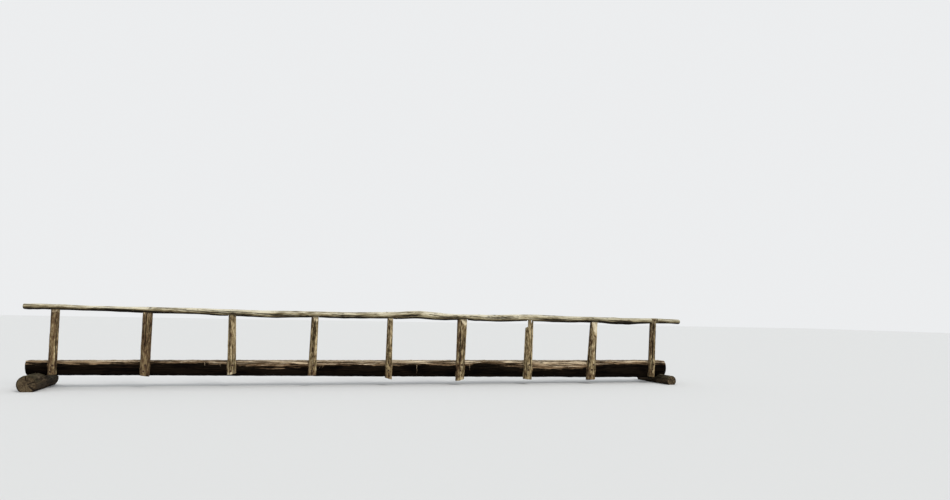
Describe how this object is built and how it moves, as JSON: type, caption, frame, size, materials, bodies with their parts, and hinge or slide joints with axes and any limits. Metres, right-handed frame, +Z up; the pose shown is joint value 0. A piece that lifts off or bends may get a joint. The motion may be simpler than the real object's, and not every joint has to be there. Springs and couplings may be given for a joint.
{
  "type": "log footbridge",
  "caption": "Single-log footbridge: a tapered hewn log with split posts let into one side, a crooked pole handrail and a cross log under each end.",
  "frame": {"origin": "on the ground, midway along the handrail and midway between the ends of the cross logs", "axes": "+X along the span toward the butt of the log, +Y across the log away from the handrail, +Z up"},
  "size_m": [14, 1.4, 1.6168],
  "materials": {
    "weathered_log": "hewn and weathered, stained nearly black below",
    "post_wood": "split and weathered, with pale cut faces",
    "rail_wood": "peeled pole, silvered and cracked",
    "sill_wood": "dark, damp log with rough bark",
    "rusty_steel": "rusted bolts, washers and spikes"
  },
  "bodies": {
    "root": {"hewn_log": "weathered_log", "post_1": "post_wood", "post_2": "post_wood", "post_3": "post_wood", "post_4": "post_wood", "post_5": "post_wood", "post_6": "post_wood", "post_7": "post_wood", "post_8": "post_wood", "post_9": "post_wood", "rail_pole_thin": "rail_wood", "rail_pole_butt": "rail_wood", "sill_thin": "sill_wood", "sill_butt": "sill_wood"}
  },
  "joints": []
}
